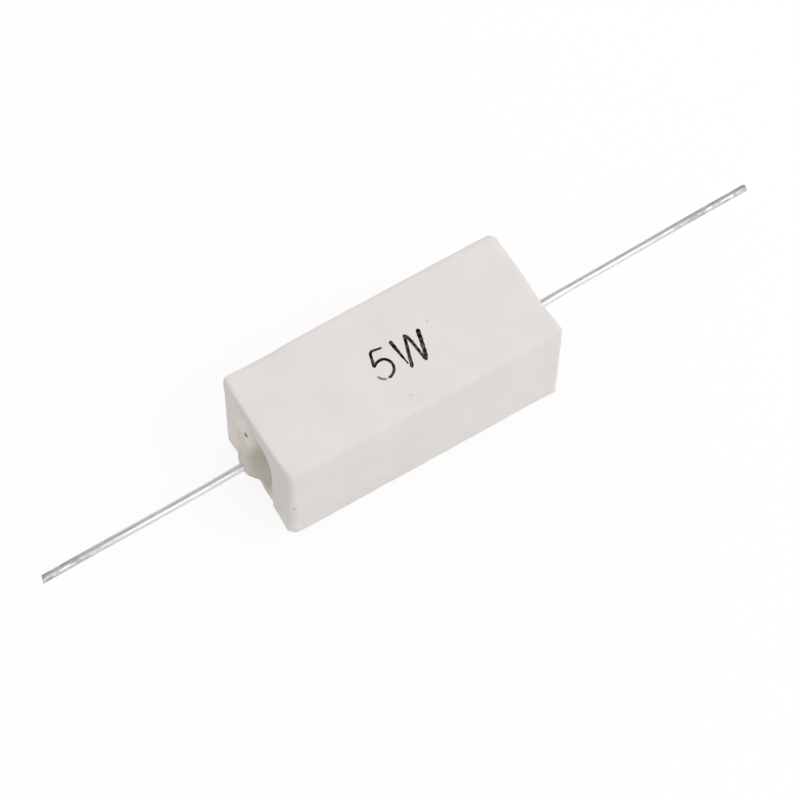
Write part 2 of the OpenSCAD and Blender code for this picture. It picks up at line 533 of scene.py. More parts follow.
# The spans of a pinhole are distances from its middle, in cells, for its colour and for its dent
PINHOLES_PER_MM = 0.85
PINHOLE_SPAN = (0.035, 0.075)
PINHOLE_COLOUR = (0.50, 0.47, 0.43, 1)
PINHOLE_STRENGTH = 0.12
PINHOLE_DENT_SPAN = (0.0, 0.09)
PINHOLE_DEPTH = 0.015
CERAMIC_BUMPS = ((1.1, 3.0, 0.02), (9.0, 3.0, 0.006))
# Marks on the ceramic, some pale patches painted light: centre in millimetres, radius, soft width,
# strength and colour
CERAMIC_MARKS_AND_PAINTED_LIGHT = (
    ((-10.64, -4.62, 4.50), 0.10, 0.10, 0.60, (0.30, 0.27, 0.24)),
    ((-10.67, -4.62, 4.24), 0.10, 0.10, 0.50, (0.30, 0.27, 0.24)),
    ((3.29, 0.85, CASE_TOP), 0.05, 0.11, 0.36, (0.35, 0.33, 0.31)),
    ((-0.64, -3.40, CASE_TOP), 0.06, 0.14, 0.28, (0.40, 0.38, 0.36)),
    ((-0.35, -3.80, CASE_TOP), 0.10, 0.32, 0.09, (0.45, 0.43, 0.41)),
    ((-0.10, -4.20, 9.5), 0.10, 0.30, 0.07, (0.45, 0.43, 0.41)),
    ((-CASE_END, -3.0, 6.3), 0.05, 0.10, 0.35, (0.34, 0.33, 0.27)),
    # The next two are painted light: the far part of the left end drawn paler, as if lit from the back
    ((-CASE_END, 3.4, 6.6), 1.20, 1.60, 0.75, (0.785, 0.767, 0.672)),
    ((-CASE_END, 3.4, 2.5), 0.80, 1.20, 0.60, (0.860, 0.790, 0.725)),
    ((-CASE_END, -4.0, 1.5), 0.50, 0.70, 0.50, (0.860, 0.830, 0.765)),
)


def ceramic_material():
    """Pressed white ceramic: cloudy, speckled, with a few pinholes and marks, and painted light on the
    far part of the left end.
    """
    material, tree, shader, place = start_material("white_ceramic", Specular_IOR_Level=CERAMIC_SHINE)
    clouds = remap(tree, grain(tree, place, *CERAMIC_CLOUDS), *NARROW_SPAN)
    colour = mix(tree, clouds, CERAMIC_DARK, CERAMIC_PALE)
    specks = remap(tree, grain(tree, place, *SPECKS), *WIDE_SPAN)
    colour = mix(tree, times(tree, specks, SPECK_STRENGTH), colour, SPECK_COLOUR)
    from_hole = cells(tree, place, PINHOLES_PER_MM)
    pinholes = fall(tree, from_hole, *PINHOLE_SPAN)
    colour = mix(tree, times(tree, pinholes, PINHOLE_STRENGTH), colour, PINHOLE_COLOUR)
    # The pale patches on the far part of the left end are painted light
    colour = lay_stains_and_painted_light(tree, place, colour, CERAMIC_MARKS_AND_PAINTED_LIGHT)
    tree.links.new(colour, shader.inputs["Base Color"])
    dull = remap(tree, grain(tree, place, *CERAMIC_PATCHES), *WIDE_SPAN, *CERAMIC_ROUGHNESS)
    tree.links.new(dull, shader.inputs["Roughness"])
    dents = remap(tree, from_hole, *PINHOLE_DENT_SPAN)
    bump(tree, shader, grains(tree, place, CERAMIC_BUMPS) + [(dents, PINHOLE_DEPTH)])
    return material


# Looks of the cement
CEMENT_SHINE = 0.2
CEMENT_ROUGHNESS = (0.82, 0.97)
CEMENT_PATCHES = (4.0,)
CEMENT_CLOUDS = (0.8,)
CEMENT_DARK = (0.70, 0.655, 0.60, 1)
CEMENT_PALE = (0.775, 0.725, 0.685, 1)
SAND = (9.0, 4.0, 0.75)
SAND_COLOUR = (0.56, 0.53, 0.47, 1)
SAND_STRENGTH = 0.30
# Pores are read as the ceramic's pinholes are, and a slow noise closes some of them
PORES_PER_MM = 2.2
PORE_SPAN = (0.08, 0.18)
PORE_COLOUR = (0.36, 0.33, 0.28, 1)
PORE_STRENGTH = 0.25
PORE_DENT_SPAN = (0.05, 0.18)
PORE_DEPTH = 0.03
CLOSING = (1.3, 2.0)
CLOSING_SPAN = (0.38, 0.62)
CLOSING_REACH = (0.0, 0.14)
CEMENT_BUMPS = ((3.0, 4.0, 0.05), (14.0, 3.0, 0.015))
# Spots on the cement, columns as for the ceramic: painted light on a paler crown, painted shade in
# darker hollows and a nearly black pit
CEMENT_PAINTED_LIGHT_SHADE_AND_SPOTS = (
    # Painted light: the crown and far flank of the left mound, drawn paler where light from above falls
    # on them
    ((-11.1, 1.5, 7.0), 1.10, 1.00, 0.90, (0.88, 0.825, 0.775)),
    ((-11.1, 2.5, 4.8), 0.35, 0.60, 0.80, (0.80, 0.73, 0.63)),
    ((-11.6, 0.9, 5.6), 0.40, 0.80, 0.75, (0.66, 0.605, 0.555)),
    # Painted shade: the near flank and hollows of the left mound, drawn darker where shade falls
    ((-11.1, -0.60, 7.1), 0.25, 0.70, 0.60, (0.52, 0.49, 0.42)),
    ((-11.1, -0.75, 5.9), 0.45, 0.80, 0.72, (0.49, 0.465, 0.39)),
    ((-10.9, -1.4, 4.2), 0.60, 1.10, 0.72, (0.48, 0.455, 0.38)),
    ((-10.8, -1.0, 2.7), 0.40, 0.45, 0.62, (0.50, 0.47, 0.40)),
    # Painted shade in the pit, drawn nearly black
    ((-11.2, 0.66, 7.63), 0.16, 0.09, 0.84, (0.11, 0.09, 0.07)),
    ((-10.93, -0.26, 6.36), 0.05, 0.09, 0.38, (0.38, 0.36, 0.31)),
)


def cement_material():
    """Grey-white cement: cloudy and sandy, with painted light and shade round the left lead, and open
    pores in patches.
    """
    material, tree, shader, place = start_material("cement", Specular_IOR_Level=CEMENT_SHINE)
    clouds = remap(tree, grain(tree, place, *CEMENT_CLOUDS), *NARROW_SPAN)
    colour = mix(tree, clouds, CEMENT_DARK, CEMENT_PALE)
    sand = remap(tree, grain(tree, place, *SAND), *NARROW_SPAN)
    colour = mix(tree, times(tree, sand, SAND_STRENGTH), colour, SAND_COLOUR)
    # Painted light on the left mound's crown and far flank, painted shade on its near flank, hollows and
    # pit
    colour = lay_stains_and_painted_light(tree, place, colour, CEMENT_PAINTED_LIGHT_SHADE_AND_SPOTS)
    closed = remap(tree, grain(tree, place, *CLOSING), *CLOSING_SPAN, *CLOSING_REACH)
    from_pore = add_up(tree, cells(tree, place, PORES_PER_MM), closed)
    pores = fall(tree, from_pore, *PORE_SPAN)
    colour = mix(tree, times(tree, pores, PORE_STRENGTH), colour, PORE_COLOUR)
    tree.links.new(colour, shader.inputs["Base Color"])
    dull = remap(tree, grain(tree, place, *CEMENT_PATCHES), *WIDE_SPAN, *CEMENT_ROUGHNESS)
    tree.links.new(dull, shader.inputs["Roughness"])
    dents = remap(tree, from_pore, *PORE_DENT_SPAN)
    bump(tree, shader, grains(tree, place, CEMENT_BUMPS) + [(dents, PORE_DEPTH)])
    return material


# Looks of the metals: a noise is drawn out along X by a small factor there
LINE_STRETCH = (0.06, 1.0, 1.0)
LINE_SHARE = 0.45
LINE_DEPTH = 0.005
PATCH_STRETCH = (0.4, 1.0, 1.0)
METAL_PATCHES = (2.6, 3.0, 0.65)
PATCH_SHARE = 0.55
PATCH_DEPTH = 0.006
# Scuffs begin at the first distance from the object's middle and are full at the second
SCUFF_REACH = (20.0, 27.0)
SCUFF_SPAN = (0.36, 0.56)
SCUFF_GREY = (0.52, 0.52, 0.50, 1)
SCUFF_ROUGHNESS = 0.35


def drawn_metal(name, dark, bright, roughness, lines_per_mm, edge_tint):
    """Drawn or pressed metal with fine lines along X, dull and scuffed far from the middle."""
    material, tree, shader, place = start_material(name, Metallic=1.0, Specular_Tint=grey(edge_tint))
    lines = grain(tree, stretched(tree, place, LINE_STRETCH), lines_per_mm)
    patches = grain(tree, stretched(tree, place, PATCH_STRETCH), *METAL_PATCHES)
    tone = add_up(tree, times(tree, lines, LINE_SHARE), times(tree, patches, PATCH_SHARE))
    colour = mix(tree, remap(tree, tone, *NARROW_SPAN), (*dark, 1), (*bright, 1))
    along = add_node(tree, "SeparateXYZ", {"Vector": place}).outputs["X"]
    away = add_node(tree, "Math", {0: along}, operation="ABSOLUTE").outputs[0]
    scuffed = times(tree, remap(tree, away, *SCUFF_REACH), remap(tree, patches, *SCUFF_SPAN))
    colour = mix(tree, scuffed, colour, SCUFF_GREY)
    tree.links.new(colour, shader.inputs["Base Color"])
    dull = remap(tree, patches, *WIDE_SPAN, *roughness)
    dull = add_up(tree, dull, times(tree, scuffed, SCUFF_ROUGHNESS))
    tree.links.new(dull, shader.inputs["Roughness"])
    bump(tree, shader, [(lines, LINE_DEPTH), (patches, PATCH_DEPTH)])
    return material


# Looks of the rod's ceramic
CORE_SHINE = 0.35
CORE_ROUGHNESS = (0.6, 0.8)
CORE_PATCHES = (3.0,)
CORE_CLOUDS = (0.9,)
CORE_DARK = (0.80, 0.76, 0.68, 1)
CORE_PALE = (0.86, 0.83, 0.76, 1)
CORE_BUMPS = ((8.0, 3.0, 0.008),)


def core_material():
    """The fired ceramic of the rod."""
    material, tree, shader, place = start_material("core_ceramic", Specular_IOR_Level=CORE_SHINE)
    clouds = remap(tree, grain(tree, place, *CORE_CLOUDS), *NARROW_SPAN)
    tree.links.new(mix(tree, clouds, CORE_DARK, CORE_PALE), shader.inputs["Base Color"])
    dull = remap(tree, grain(tree, place, *CORE_PATCHES), *WIDE_SPAN, *CORE_ROUGHNESS)
    tree.links.new(dull, shader.inputs["Roughness"])
    bump(tree, shader, grains(tree, place, CORE_BUMPS))
    return material


# Looks of the ink
INK_SHINE = 0.1
INK_ROUGHNESS = 0.7
INK_BLACK = (0.003, 0.003, 0.002, 1)
INK_THIN = (0.62, 0.58, 0.55, 1)
INK_PATCHES = (2.4,)
INK_PATCH_SPAN = (0.45, 0.68)
INK_PATCH_STRENGTH = 0.18
INK_FADE_CENTRE = (-1.70, -1.22, CASE_TOP)
INK_FADE_RADIUS = 0.42
INK_FADE_SOFT = 0.10
INK_FADE = (4.0,)
INK_FADE_STRENGTH = (0.30, 0.70)
INK_BUMPS = ((9.0, 3.0, 0.004),)


def ink_material():
    """Stamped black ink, thinner in patches and nearly gone at the tail of the 5."""
    material, tree, shader, place = start_material(
        "black_ink", Specular_IOR_Level=INK_SHINE, Roughness=INK_ROUGHNESS
    )
    patches = remap(tree, grain(tree, place, *INK_PATCHES), *INK_PATCH_SPAN)
    worn = times(tree, patches, INK_PATCH_STRENGTH)
    tail = spot(tree, place, INK_FADE_CENTRE, INK_FADE_RADIUS, INK_FADE_SOFT)
    fade = remap(tree, grain(tree, place, *INK_FADE), *NARROW_SPAN, *INK_FADE_STRENGTH)
    thin = larger(tree, worn, times(tree, tail, fade))
    tree.links.new(mix(tree, thin, INK_BLACK, INK_THIN), shader.inputs["Base Color"])
    bump(tree, shader, grains(tree, place, INK_BUMPS))
    return material


# Ceramic case: each edge has its own radius; 0 marks the axis that the edge runs along
EDGE_RADII = {
    (0, -1, 1): 0.45, (0, 1, 1): 0.55, (-1, 0, 1): 0.20, (1, 0, 1): 0.60,
    (-1, -1, 0): 0.60, (-1, 1, 0): 0.65, (1, -1, 0): 0.35, (1, 1, 0): 0.80,
    (0, -1, -1): 0.50, (0, 1, -1): 0.40, (-1, 0, -1): 1.10, (1, 0, -1): 0.50,
}
EDGE_BLEND = 1.1
# Far from every edge the plain radius counts, and near one its weight is next to nothing
PLAIN_RADIUS = 0.6
PLAIN_WEIGHT = 1e-6
EDGE_UNEVEN = 0.16
EDGE_UNEVEN_SIZE = 2.2
EDGE_SEED = 3
WAVE_HEIGHT = 0.022
WAVE_SIZE = 5.0
WAVE_SEED = 5
RIPPLE_HEIGHT = 0.006
RIPPLE_SIZE = 0.9
RIPPLE_SEED = 7
# Burrs, chips and dents: centre, spread and height in millimetres
CASE_FLAWS = (
    ((10.9, -4.5, 9.35), (0.22, 0.22, 0.30), 0.09),
    ((10.85, -4.45, 0.15), (0.30, 0.30, 0.30), 0.10),
    ((-10.95, -4.15, 0.45), (0.35, 0.35, 0.45), 0.07),
    ((-10.9, -4.5, 9.3), (0.35, 0.35, 0.35), -0.05),
    ((4.2, -4.5, 9.5), (0.45, 0.30, 0.30), -0.05),
    ((-6.8, 4.5, 9.5), (0.40, 0.30, 0.30), -0.06),
    ((9.0, 4.5, 0.2), (0.60, 0.35, 0.35), -0.09),
    ((-3.5, -4.5, 0.2), (0.50, 0.30, 0.30), -0.06),
    ((10.9, 2.6, 9.5), (0.30, 0.40, 0.30), -0.06),
    ((-10.64, -4.6, 4.38), (0.14, 0.14, 0.24), -0.05),
    ((-11.0, 4.6, 4.6), (0.70, 0.80, 3.40), -0.04),
    ((-8.6, 4.6, 9.5), (3.00, 0.70, 0.70), -0.12),
    ((11.0, -1.7, 9.5), (0.50, 1.20, 0.50), -0.12),
)
# The grid of the case's surface has finer steps in a zone along each edge
CASE_EDGE_ZONE = 1.4
CASE_EDGE_STEP = 0.1
CASE_MIDDLE_STEP = 0.24
CASE_SMOOTH_ANGLE = 40
TROUGH_CORNER_STEPS = 8
# How far a cutter runs past what it cuts
CUT_PAST = 1.0
CUT_BELOW = -CUT_PAST
MOUTH_PAST = 1.5
MOUTH_STEPS = 8
JAMB_STEPS = 24
ARCH_STEPS = 48
MOUTH_UNEVEN = 0.03
MOUTH_UNEVEN_SIZE = 0.8
MOUTH_SEED = 11


def edge_radius(offset):
    """The case's edge radius near a point, given from the middle of the case."""
    total = PLAIN_WEIGHT * PLAIN_RADIUS
    weights = PLAIN_WEIGHT
    for sides, radius in EDGE_RADII.items():
        apart = sum((offset[a] - sides[a] * CASE_HALF[a]) ** 2 for a in range(3) if sides[a])
        weight = math.exp(-apart / EDGE_BLEND ** 2)
        total += weight * radius
        weights += weight
    return total / weights * (1 + EDGE_UNEVEN * ripple(offset, EDGE_UNEVEN_SIZE, EDGE_SEED))


def case_surface(point):
    """A point of the square block's surface, moved onto the rounded, slightly uneven case."""
    offset = point - CASE_MIDDLE
    radius = edge_radius(offset)
    core = Vector(max(radius - half, min(half - radius, c)) for c, half in zip(offset, CASE_HALF))
    outward = (offset - core).normalized()
    swell = WAVE_HEIGHT * ripple(point, WAVE_SIZE, WAVE_SEED)
    swell += RIPPLE_HEIGHT * ripple(point, RIPPLE_SIZE, RIPPLE_SEED)
    for centre, spread, height in CASE_FLAWS:
        swell += height * hump(point, centre, spread)
    return CASE_MIDDLE + core + outward * (radius + swell)


def arch_outline(spread, low):
    """Points (y, z) of an opening made wider by spread: up its back jamb, over and down its front."""
    half = OPENING_HALF + spread
    spring = OPENING_CROWN - OPENING_HALF
    rise = [(half, low + (spring - low) * step / JAMB_STEPS) for step in range(JAMB_STEPS)]
    arch = []
    for step in range(ARCH_STEPS + 1):
        angle = math.pi * step / ARCH_STEPS
        arch.append((half * math.cos(angle), spring + half * math.sin(angle)))
    descent = [(-y, z) for y, z in reversed(rise)]
    return rise + arch + descent


def mouth_outline(side, spread, low):
    """The arch of one end's opening, made wider by spread, with the unevenness of its mould."""
    outline = []
    for (y, z), place in zip(arch_outline(spread, low), arch_outline(0.0, low)):
        uneven = ripple((side * CASE_END, *place), MOUTH_UNEVEN_SIZE, MOUTH_SEED)
        outline.append((y * (1 + MOUTH_UNEVEN * uneven), z))
    return outline


def mouth_cutter(side):
    """The arched opening in one end wall, flared to round its outer edge."""
    stations = [(TROUGH_END - OPENING_EDGE, 0.0)]
    for step in range(MOUTH_STEPS + 1):
        angle = math.radians(90) * step / MOUTH_STEPS
        x = CASE_END - OPENING_EDGE * (1 - math.sin(angle))
        stations.append((x, OPENING_EDGE * (1 - math.cos(angle))))
    stations.append((CASE_END + MOUTH_PAST, OPENING_EDGE))
    rings = []
    for x, spread in stations:
        rings.append([(side * x, y, z) for y, z in mouth_outline(side, spread, CUT_BELOW)])
    return loft("mouth_cutter", rings)


def make_case():
    """The ceramic case: an uneven rounded block, less the trough and the opening in each end."""
    grid = []
    for low, high in zip(case_low, case_high):
        grid.append(stops(low, high, CASE_EDGE_ZONE, CASE_EDGE_STEP, CASE_MIDDLE_STEP))
    points, quads = box_shell(grid)
    case = make_mesh("case_shell", [case_surface(point) for point in points], quads)
    outline = rounded_rectangle(TROUGH_END, cement_high.y, TROUGH_CORNER, TROUGH_CORNER_STEPS)
    levels = (CUT_BELOW, cement_high.z)
    trough = loft("trough_cutter", [[(x, y, z) for x, y in outline] for z in levels])
    combine(case, "DIFFERENCE", [trough, mouth_cutter(LEFT), mouth_cutter(RIGHT)])
    finish_piece(case, ceramic_material(), CASE_SMOOTH_ANGLE, "ceramic_case")


# Cement: the fill of the trough, and at each end a plug with a mound round the lead
FIT = 0.01
CEMENT_SMOOTH_ANGLE = 50
FILL_EDGE_ZONE = 1.0
FILL_STEP = 0.16
FILL_SKIRT = 0.3
FILL_LUMP = 0.045
FILL_LUMP_SIZE = 1.3
FILL_LUMP_SEED = 19
FILL_GRAIN = 0.02
FILL_GRAIN_SIZE = 0.35
FILL_GRAIN_SEED = 23
PLUG_BOTTOM_STEPS = 20
PLUG_RINGS = 44
PLUG_INNER_SHARE = 0.03
PLUG_BURIED = 0.6
# How sharply the mound's foot ends, and how far its outline departs from a circle
FOOT_SHARPNESS = 12.0
MOUND_UNEVEN = {LEFT: 0.03, RIGHT: 0.14}
MOUND_UNEVEN_SIZE = 0.7
MOUND_SEED = 47
MOUND_LUMP = 0.06
MOUND_LUMP_SIZE = 0.8
MOUND_LUMP_SEED = 13
# The lumps grow from nothing at the lead, this many times as fast as the mound falls away
MOUND_LUMP_RISE = 3
MOUND_GRAIN = 0.022
MOUND_GRAIN_SIZE = 0.22
MOUND_GRAIN_SEED = 17
# The cement creeps up a little where it meets the opening
CREEP_HEIGHT = 0.07
CREEP_SHARE = 0.05
# Rises and hollows of each mound: centre (y, z), spread (y, z) and height in millimetres
MOUND_SHAPES = {
    LEFT: (
        ((0.70, 6.9), (0.70, 1.20), 0.42),
        ((0.60, 7.9), (1.00, 0.60), 0.22),
        ((1.85, 4.6), (0.55, 2.40), 0.22),
        ((-0.75, 6.6), (0.55, 1.10), -0.25),
        ((-1.40, 5.2), (0.50, 1.30), -0.22),
        ((-1.30, 3.4), (0.55, 0.90), -0.14),
        ((-0.90, 2.0), (1.20, 0.90), 0.12),
        ((0.66, 7.38), (0.40, 0.24), 0.12),
        ((0.66, 7.63), (0.13, 0.13), -0.16),
    ),
    RIGHT: (
        ((-0.60, 6.8), (0.70, 1.00), 0.30),
        ((1.40, 5.2), (0.50, 1.20), -0.18),
        ((-1.60, 4.0), (0.50, 1.60), 0.15),
        ((0.30, 2.0), (0.90, 0.70), 0.12),
        ((-0.95, 7.0), (0.09, 0.09), -0.15),
    ),
}
# Cement smeared over the end face round the opening: centre (y, z), spread (y, z) and width
SMEARS = {
    LEFT: (
        ((2.1, 5.4), (0.9, 2.0), 0.70),
        ((0.9, 8.0), (1.1, 0.7), 0.45),
    ),
    RIGHT: (
        ((-1.6, 7.4), (1.0, 1.0), 0.55),
        ((-2.1, 3.0), (0.8, 1.4), 0.40),
        ((2.1, 4.6), (0.8, 1.6), 0.35),
    ),
}
SMEAR_LEAST = 0.06
SMEAR_STEPS = 6
SMEAR_THICKNESS = 0.05
SMEAR_UNDER = 0.03
SMEAR_UNEVEN = 0.45
SMEAR_UNEVEN_SIZE = 0.5
SMEAR_SEED = 43


def mound_relief(y, z, side):
    """How far the cement stands out from the case's end; at the bottom it follows the round edge."""
    around = Vector((0, y, z - LEAD_Z))
    reach = around.length
    around.normalize()
    reach *= 1 + MOUND_UNEVEN[side] * ripple(around, MOUND_UNEVEN_SIZE, MOUND_SEED * side)
    share = (reach - MOUND_TIP_RADIUS) / (MOUND_FOOT_RADIUS - MOUND_TIP_RADIUS)
    share = 1 - math.log1p(math.exp((1 - share) * FOOT_SHARPNESS)) / FOOT_SHARPNESS
    share = max(0.0, share) ** (1 / MOUND_FULLNESS)
    relief = MOUND_HEIGHT * (1 - share) - PLUG_RECESS * share
    bottom_radius = EDGE_RADII[(side, 0, -1)]
    below = max(0.0, bottom_radius - (z - cement_low.z))
    relief -= bottom_radius - math.sqrt(bottom_radius ** 2 - below ** 2)
    for centre, spread, height in MOUND_SHAPES[side]:
        relief += height * hump((y, z), centre, spread)
    place = (side * CASE_END, y, z)
    lumps = MOUND_LUMP * ripple(place, MOUND_LUMP_SIZE, MOUND_LUMP_SEED)
    relief += lumps * min(1, share * MOUND_LUMP_RISE)
    return relief + MOUND_GRAIN * ripple(place, MOUND_GRAIN_SIZE, MOUND_GRAIN_SEED)


def smear_width(y, z, side):
    """How far the cement is smeared outwards from a point of the opening's outline."""
    width = sum(widest * hump((y, z), centre, spread) for centre, spread, widest in SMEARS[side])
    uneven = 1 + SMEAR_UNEVEN * ripple((side * CASE_END, y, z), SMEAR_UNEVEN_SIZE, SMEAR_SEED)
    return SMEAR_LEAST + width * uneven


def mouth_depth(spread):
    """Depth of the opening's rounded edge at a distance outwards from its outline."""
    left = max(0.0, OPENING_EDGE - spread)
    return OPENING_EDGE - math.sqrt(OPENING_EDGE ** 2 - left ** 2)


def smear_rings(side, outline, outward):
    """Rings of the film round the opening: out along its underside, then back in over it."""
    under = [[] for step in range(SMEAR_STEPS + 1)]
    over = [[] for step in range(SMEAR_STEPS)]
    for (y, z), (out_y, out_z) in zip(outline, outward):
        width = smear_width(y, z, side) * math.hypot(out_y, out_z)
        front = mound_relief(y, z, side) + CREEP_HEIGHT
        thickness = SMEAR_THICKNESS * min(1.0, width / OPENING_EDGE)
        edge = min(-mouth_depth(width), front - SMEAR_UNDER) - SMEAR_UNDER
        for step in range(SMEAR_STEPS + 1):
            share = step / SMEAR_STEPS
            spread = width * share
            place = (y + out_y * spread, z + out_z * spread)
            below = min(-mouth_depth(spread), front - SMEAR_UNDER) - SMEAR_UNDER
            under[step].append((side * (CASE_END + below), *place))
            if 0 < step < SMEAR_STEPS:
                above = front + (edge - front) * share ** 2 + thickness * math.sin(math.pi * share)
                over[step].append((side * (CASE_END + above), *place))
    # The first ring over the film is left to the plug's face, which starts there
    return under + over[:0:-1]


def make_plug(side):
    """One end's plug: a stub in the trough, a film round the opening, and rings round the lead."""
    outline = mouth_outline(side, -FIT, cement_low.z)
    # The outline of an opening one millimetre wider shows which way is outwards
    wider = mouth_outline(side, 1 - FIT, cement_low.z)
    outward = [(wide_y - y, wide_z - z) for (y, z), (wide_y, wide_z) in zip(outline, wider)]
    back_y = outline[0][0]
    front_y = outline[-1][0]
    for step in range(1, PLUG_BOTTOM_STEPS):
        outline.append((front_y + (back_y - front_y) * step / PLUG_BOTTOM_STEPS, cement_low.z))
        outward.append((0.0, 0.0))
    rings = [[(side * (TROUGH_END - PLUG_BURIED), y, z) for y, z in outline]]
    rings += smear_rings(side, outline, outward)
    for ring in range(PLUG_RINGS + 1):
        share = 1 + (PLUG_INNER_SHARE - 1) * ring / PLUG_RINGS
        creep = CREEP_HEIGHT * math.exp(-(1 - share) / CREEP_SHARE)
        front = []
        for outline_y, outline_z in outline:
            y = outline_y * share
            z = LEAD_Z + (outline_z - LEAD_Z) * share
            front.append((side * (CASE_END + mound_relief(y, z, side) + creep), y, z))
        rings.append(front)
    return loft("plug", rings)


def fill_surface(point):
    """A point of the fill's block, with its upright corners rounded and its open face made lumpy."""
    x, y, z = point
    core_x = max(TROUGH_CORNER - TROUGH_END, min(TROUGH_END - TROUGH_CORNER, x))
    core_y = max(TROUGH_CORNER - cement_high.y, min(cement_high.y - TROUGH_CORNER, y))
    away = Vector((x - core_x, y - core_y))
    if away.length > TROUGH_CORNER - FIT:
        away = away.normalized() * (TROUGH_CORNER - FIT)
    if z == cement_low.z:
        lump = FILL_LUMP * ripple(point, FILL_LUMP_SIZE, FILL_LUMP_SEED)
        z += lump + FILL_GRAIN * ripple(point, FILL_GRAIN_SIZE, FILL_GRAIN_SEED)
    return Vector((core_x + away.x, core_y + away.y, z))


def element_cutter():
    """The space of the wound element and its leads, turned round the lead axis."""
    half = [
        (cap_low.x, WINDING_RADIUS + ELEMENT_CLEARANCE),
        (cap_low.x, CAP_RADIUS),
        (cap_high.x, CAP_RADIUS),
        (cap_high.x, WELD_FOOT_RADIUS),
        (cap_high.x + WELD_FOOT_HEIGHT, LEAD_RADIUS),
        (cement_high.x + CUT_PAST, LEAD_RADIUS),
    ]
    profile = [(-x, radius) for x, radius in reversed(half)] + half
    rings = []
    for x, radius in profile:
        rings.append([(x, radius * c, LEAD_Z + radius * s) for c, s in circle(ARCH_STEPS)])
    return loft("element_cutter", rings)


def make_cement():
    """The cement: the fill joined with both plugs, less the space of the element."""
    half_y = cement_high.y
    grid = [
        stops(-TROUGH_END, TROUGH_END, FILL_EDGE_ZONE, FILL_STEP, FILL_STEP),
        stops(-half_y, half_y, FILL_EDGE_ZONE, FILL_STEP, FILL_STEP),
        [cement_low.z, cement_low.z + FILL_SKIRT, cement_high.z - FIT],
    ]
    points, quads = box_shell(grid)
    cement = make_mesh("cement_body", [fill_surface(point) for point in points], quads)
    combine(cement, "UNION", [make_plug(LEFT), make_plug(RIGHT)])
    combine(cement, "DIFFERENCE", [element_cutter()])
    finish_piece(cement, cement_material(), CEMENT_SMOOTH_ANGLE, "cement_fill")


# Leads: drawn wire, not quite straight, with a nipped end
LEADS = {LEFT: ("lead_wire_left", "lead_left"), RIGHT: ("lead_wire_right", "lead_right")}
WIRE_SIDES = 32
WIRE_STEP = 0.25
WIRE_SMOOTH_ANGLE = 35
WIRE_UNEVEN = 0.02
WIRE_UNEVEN_SIZE = 1.1
WIRE_SEED = 37
WIRE_SWAY = 0.035
WIRE_SWAY_SIZE = 7.0
SWAY_Y_SEED = 29
SWAY_Z_SEED = 31
# How far each lead is set aside along Y, and how much thinner it is drawn, once clear of the cement
LEAD_ASIDE = {LEFT: -0.055, RIGHT: 0.04}
LEAD_THINNING = {LEFT: 0.01, RIGHT: 0.045}
CLEAR_REACH = 2.5
# The nipped end: its length, the share of its height that is left, and how far its cut is aslant
NIP_LENGTH = 0.22
NIP_SHARE = 0.72
NIP_SLANT = {LEFT: 0.35, RIGHT: 0.12}


def free_length(x):
    """Length of wire between a lead's bend and a distance from the object's middle."""
    return max(0.0, x - LEAD_BEND_X)


def clear_share(x):
    """0 up to a lead's bend, rising to 1 where the wire is well clear of the cement."""
    return min(1.0, free_length(x) / CLEAR_REACH)


def wire_middle(side, x):
    """Middle (y, z) of a lead's wire, which bends, is set aside and sways a little."""
    free = free_length(x)
    sway = WIRE_SWAY * min(1.0, free / WIRE_SWAY_SIZE)
    y = free * math.tan(LEAD_BENDS[side])
    y += sway * ripple((side * x, 0, 0), WIRE_SWAY_SIZE, SWAY_Y_SEED)
    y += LEAD_ASIDE[side] * clear_share(x)
    z = LEAD_Z + sway * ripple((side * x, 0, 0), WIRE_SWAY_SIZE, SWAY_Z_SEED)
    return y, z


def wire_radius(side, x):
    """Radius of a lead's wire, which is upset at its welded foot."""
    foot = max(0.0, 1 - (x - cap_high.x) / WELD_FOOT_HEIGHT)
    radius = LEAD_RADIUS * (1 + WIRE_UNEVEN * ripple((side * x, 0, 0), WIRE_UNEVEN_SIZE, WIRE_SEED))
    radius += (WELD_FOOT_RADIUS - LEAD_RADIUS) * foot - LEAD_THINNING[side] * clear_share(x)
    return radius


def make_lead(side, name, node, material):
    """One lead, from its foot on the cap to its nipped end."""
    low, high = box_mm(node)
    tip = max(abs(low.x), abs(high.x))
    root = cap_high.x
    count = round((tip - root) / WIRE_STEP)
    stations = [root + (tip - root - NIP_LENGTH) * step / count for step in range(count + 1)]
    rings = []
    for x in stations + [tip - NIP_LENGTH / 2, tip]:
        y, z = wire_middle(side, x)
        radius = wire_radius(side, x)
        nip = max(0.0, 1 - (tip - x) / NIP_LENGTH)
        ring = []
        for c, s in circle(WIRE_SIDES):
            across = radius * c
            up = radius * s * (1 + (NIP_SHARE - 1) * nip ** 2)
            slant = nip * NIP_SLANT[side] * (LEAD_RADIUS - side * across)
            ring.append((side * (x - slant), y + across, z + up))
        rings.append(ring)
    finish_piece(loft(name, rings), material, WIRE_SMOOTH_ANGLE, node)


# Rating mark: plain single-stroke figures stamped in ink on the top face
INK_HEIGHT = 0.006
INK_DEPTH = 0.012
INK_STEP = 0.06
INK_SMOOTH_ANGLE = 30
INK_UNEVEN = 0.22
INK_UNEVEN_SIZE = 0.16
INK_SEED = 41
# The figures lean by this share of their height, and a stroke's very end keeps a little of its width
INK_SLANT = 0.1
INK_END_BLUNT = 0.02
# Left edge, base line, width and height of each figure
FIVE_SIZE = (-1.80, -1.53, 1.35, 2.44)
W_SIZE = (0.05, -1.66, 2.15, 2.45)
# The 5 in a unit square: flag and stem in one stroke, the bowl, a bare gap and the bowl's faded tail
FIVE_FLAG = ((0.84, 0.92), (0.28, 0.97), (0.155, 0.92), (0.005, 0.49))
BOWL_CENTRE = (0.42, 0.31)
BOWL_RADII = (0.52, 0.30)
